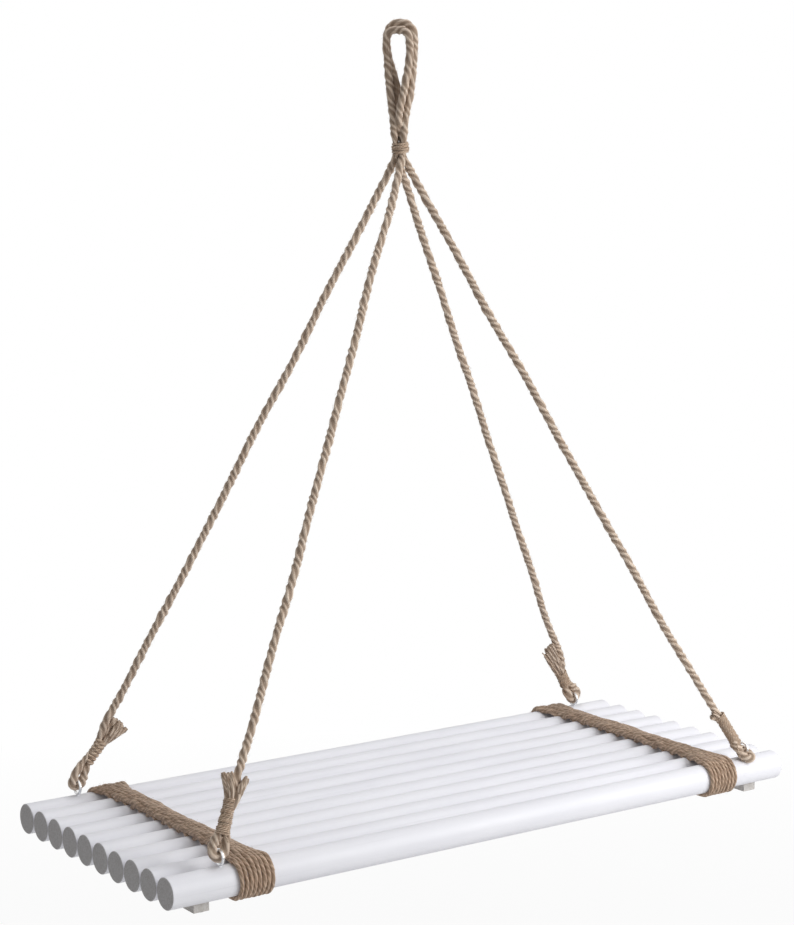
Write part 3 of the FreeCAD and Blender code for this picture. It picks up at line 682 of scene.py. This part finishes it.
def lashingLine(side):
    # half circles about the two outer dowels, straight runs between them; on the top run each turn goes from
    # its place in the fan to its place in the bunch by 1 - share**gather, and the lowest ones sag between the
    # dowels; the right band lies flatter
    work, seeds = lashing, lashing["seeds"]
    middleX, middleY, middleZ = work["middle"]
    depth, lie = work["depth"], work["lie"]
    fan = np.arange(work["turns"])[:, None] - (work["turns"] - 1) / 2
    arc = np.radians(np.linspace(-90, 90, work["arcPlaces"]))[None]
    share = np.linspace(1, -1, work["straightPlaces"])[None]
    bunch = 1 - np.abs(share) ** work["gather"]
    across, rise, sag = (np.array(work[key])[:, None] for key in ("across", "rise", "sag"))
    rise = rise * (work["flatter"] if side > 0 else 1)
    valley = np.sin(np.pi * (share * depth / work["spacing"] + 0.5)) ** 2
    lifted = (rise - sag * (1 - valley)) * bunch
    backArc = turnGrid(work["pitch"] * fan, depth + lie * np.cos(arc), lie * np.sin(arc))
    top = turnGrid(work["pitch"] * fan * (1 - bunch) + across * bunch, share * depth, lie + lifted)
    frontArc = turnGrid(work["pitch"] * fan, -depth - lie * np.cos(arc), lie * np.sin(-arc))
    under = turnGrid(work["pitch"] * (fan + (1 - share) * 0.5), -share * depth, -lie)
    turns = np.concatenate([backArc, top[:, 1:-1], frontArc, under[:, 1:-1]], 1).reshape(-1, 3)
    last = int((alongLine(under[-1])[1:] < work["tuck"]).sum())  # places of the last turn up to its tuck
    turns = turns[:len(turns) - (len(under[-1]) - 2) + last]
    first = np.array([(fan[0, 0] * work["pitch"], depth - work["tuck"], -lie)])
    line = np.concatenate([first, turns]) + [middleX + side * work["reach"], middleY, middleZ]
    line = spaced(line, work["step"])
    run = alongLine(line)
    over = ease(middleZ + work["overFrom"][0], middleZ + work["overFrom"][1], line[:, 2])
    sway = wander(run, work["sideWaves"], work["sideWave"], seeds["side"] + side)
    line[:, 0] += sway * (work["sideShare"][0] + work["sideShare"][1] * over)
    line[:, 0] += work["lean"] * (1 + (line[:, 1] - middleY) / depth)
    line[:, 2] += (wander(run, work["topWaves"], work["topWave"], seeds["top"] + side) + work["lift"]) * over
    return line * mm


work, seeds = lashing, lashing["seeds"]
for side, name in ((-1, "lashingLeft"), (1, "lashingRight")):
    line = lashingLine(side)
    run = alongLine(line)
    above = line[:, 2] / mm - work["middle"][2]
    plump = work["plump"] * ease(*work["plumpFrom"], above)
    uneven = wander(run, work["unevenWaves"], work["uneven"], seeds["uneven"] + side)
    radius = work["radius"] * mm * (1 + plump + uneven)
    stock = Stock()
    layRope(stock, line, (1, 0, 0), radius, work["lay"] * mm, around=work["around"], floor=work["floor"],
            seed=seeds["lay"] + side)
    for key, part in (("topFibres", above > work["topFrom"]), ("allFibres", slice(None))):
        many, reach, out, thick = work[key]
        addFuzz(stock, line[part], (1, 0, 0), radius[part], many, reach * mm, seeds[key] + side, out,
                thick * mm)
    piece = stock.piece(name, jute["cord"], "jute_cord")
    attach(piece, "swing")
    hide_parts("lashing_" + ("left" if side < 0 else "right"))
print("lashings wound")

# satin white paint on the dowels; middle and endFrom (mm) say where their sawn ends are
paintWork = dict(middle=13.4, endFrom=(374.2, 374.6), peel=900.0, brush=(6.0, 420.0), cloud=(9.0, 40.0),
                 rings=(60.0, 700.0), specks=38.0, speckSpan=(0.035, 0.02), rare=23.0, rareSpan=(0.56, 0.6),
                 cloudSpan=(0.35, 0.7), cloudShare=0.5, brushSpan=(0.6, 0.78), brushShare=0.25,
                 ringSpan=(0.4, 0.65), speckShare=0.75, roughSpan=(0.3, 0.7), rough=(0.42, 0.55), gloss=0.4,
                 peelHeight=0.6, brushHeight=0.4, height=0.00025, bump=0.6)


def paintFinish():
    # a fine orange-peel bump, faint long brush lines, rare dark specks, greyer sawn ends with rings, whose
    # grey is partly their end grain and partly painted shade
    work = paintWork
    look = Finish(bpy.data.materials.new("whitePaint"))
    place = look.place()
    x, _, _ = look.split(place)
    brush, cloud, ring = (look.scaled(place, (work[key][0], work[key][1], work[key][1]))
                          for key in ("brush", "cloud", "rings"))
    peel = look.noise(place, work["peel"], 2.0)
    brush = look.noise(brush, 1.0, 2.0)
    cloud = look.noise(cloud, 1.0, 2.0)
    ring = look.noise(ring, 1.0, 3.0)
    rare = look.noise(place, work["rare"], 1.0)
    speck = look.node("ShaderNodeTexVoronoi", inputs=dict(Vector=place, Scale=work["specks"]), out="Distance")
    spot = look.level(speck, *work["speckSpan"]) * look.level(rare, *work["rareSpan"])
    end = look.level((x - work["middle"] * mm).absolute(), *(v * mm for v in work["endFrom"]))
    colour = look.mix(look.level(cloud, *work["cloudSpan"]) * work["cloudShare"], shade(238, 238, 243),
                      shade(228, 228, 235))
    colour = look.mix(look.level(brush, *work["brushSpan"]) * work["brushShare"], colour,
                      shade(214, 213, 218))
    # partly painted shade: the sawn ends' grey is darker than bare end grain, for the shade that falls on
    # them
    endGrainAndShade = look.mix(look.level(ring, *work["ringSpan"]), shade(186, 184, 185), shade(168, 165, 164))
    colour = look.mix(spot * work["speckShare"], look.mix(end, colour, endGrainAndShade), shade(96, 92, 90))
    look.feed(look.shader, {"Base Color": colour, "Specular IOR Level": work["gloss"],
                            "Roughness": look.level(cloud, *work["roughSpan"], work["rough"])})
    look.bump(peel * work["peelHeight"] + brush * work["brushHeight"] - spot + ring * end, work["height"],
              work["bump"])
    return look.owner


# thin wash over the battens' sawn wood, with its grain along Y
washWork = dict(grain=(520.0, 12.0, 520.0), grainSpan=(0.4, 0.65), cloud=60.0, cloudSpan=(0.55, 0.75),
                cloudShare=0.6, rough=0.75, height=0.0004, bump=0.6)


def battenFinish():
    # pale and dull streaks of grain, with warmer clouds where the wash is thin
    work = washWork
    look = Finish(bpy.data.materials.new("battenWash"))
    place = look.place()
    grain = look.noise(look.scaled(place, work["grain"]), 1.0, 4.0, 0.6)
    cloud = look.noise(place, work["cloud"], 2.0)
    colour = look.mix(look.level(grain, *work["grainSpan"]), shade(200, 197, 194), shade(182, 177, 172))
    thin = look.level(cloud, *work["cloudSpan"]) * work["cloudShare"]
    colour = look.mix(thin, colour, shade(166, 158, 149))
    look.feed(look.shader, {"Base Color": colour, "Roughness": work["rough"]})
    look.bump(grain, work["height"], work["bump"])
    return look.owner


steelWork = dict(cloud=260.0, cloudSpan=(0.35, 0.65), metal=0.85, roughSpan=(0.3, 0.7), height=0.0001,
                 bump=0.4)


def steelFinish(name, pale, dull, rough):
    # zinc plate: a fine cloudy tone, rougher where it is dull
    work = steelWork
    look = Finish(bpy.data.materials.new(name))
    cloud = look.noise(look.place(), work["cloud"], 3.0)
    colour = look.mix(look.level(cloud, *work["cloudSpan"]), pale, dull)
    look.feed(look.shader, {"Base Color": colour, "Metallic": work["metal"],
                            "Roughness": look.level(cloud, *work["roughSpan"], rough)})
    look.bump(cloud, work["height"], work["bump"])
    return look.owner


paint, wash = paintFinish(), battenFinish()
zinc = steelFinish("brightZinc", shade(248, 249, 250), shade(228, 230, 233), (0.22, 0.38))
screwSteel = steelFinish("screwSteel", shade(205, 204, 200), shade(170, 168, 162), (0.35, 0.5))
finishes = dict(dowel_=paint, batten_left=wash, batten_right=wash, screw_eye=zinc, batten_screws=screwSteel)
for node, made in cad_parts.items():
    for start, finish in finishes.items():
        if node.startswith(start):
            made.data.materials.clear()
            made.data.materials.append(finish)
print("wood and metal finished")

# floor, world and lamps; the floor and the world behind it are pure white to the camera away from the
# object, and close to it the floor keeps the share of light that its shadow takes away
studio = dict(floor=-1.28, half=40, near=0.90, shadeFrom=1.0, shadeTo=2.2, rough=0.9, ambient=0.30,
              aim=(0, 0, -0.7), lampSize=1.2, keyPlace=(1.05, -1.40, 0.0), keyPower=26.0,
              topPlace=(0, 0.3, 1.2), topPower=11.0)
half, level = studio["half"], studio["floor"]
mesh = bpy.data.meshes.new("studioFloor")
mesh.from_pydata([(-half, -half, level), (half, -half, level), (half, half, level), (-half, half, level)], [],
                 [(0, 1, 2, 3)])
ground = bpy.data.objects.new("studioFloor", mesh)
scene.collection.objects.link(ground)
look = Finish(bpy.data.materials.new("studioFloor"))
look.feed(look.shader, {"Base Color": shade(246, 246, 246), "Roughness": studio["rough"]})
x, y, _ = look.split(look.place())
white = look.level((x * x + y * y) ** 0.5, studio["shadeFrom"], studio["shadeTo"], (studio["near"], 1.0))
seen = look.node("ShaderNodeLightPath", out="Is Camera Ray")
glow = look.node("ShaderNodeEmission", inputs={0: (1, 1, 1, 1), 1: 1.0})
blend = look.node("ShaderNodeMixShader", inputs={0: seen * white})
look.feed(blend.socket.node, {1: Signal(look, look.shader.outputs[0]), 2: glow})
look.feed(look.tree.nodes["Material Output"], {0: blend})
mesh.materials.append(look.owner)

world = bpy.data.worlds.new("studioWorld")
scene.world = world
sky = Finish(world, "Background")
seen = sky.node("ShaderNodeLightPath", out="Is Camera Ray")
mirrored = sky.node("ShaderNodeLightPath", out="Is Glossy Ray")
strength = sky.level(seen.highest(mirrored), 0.0, 1.0, (studio["ambient"], 1.0))
sky.feed(sky.shader, {0: (1, 1, 1, 1), 1: strength})


def lamp(name, place, power):  # a square area lamp that faces the seat
    light = bpy.data.lights.new(name, "AREA")
    light.size = studio["lampSize"]
    light.energy = power
    made = bpy.data.objects.new(name, light)
    made.location = place
    away = np.array(place) - np.array(studio["aim"])
    tilt = math.atan2(math.hypot(away[0], away[1]), away[2])
    made.rotation_euler = (tilt, 0, math.atan2(away[0], -away[1]))
    scene.collection.objects.link(made)


lamp("keyLamp", studio["keyPlace"], studio["keyPower"])
lamp("topLamp", studio["topPlace"], studio["topPower"])
scene.view_settings.view_transform = "Standard"
print("studio ready")
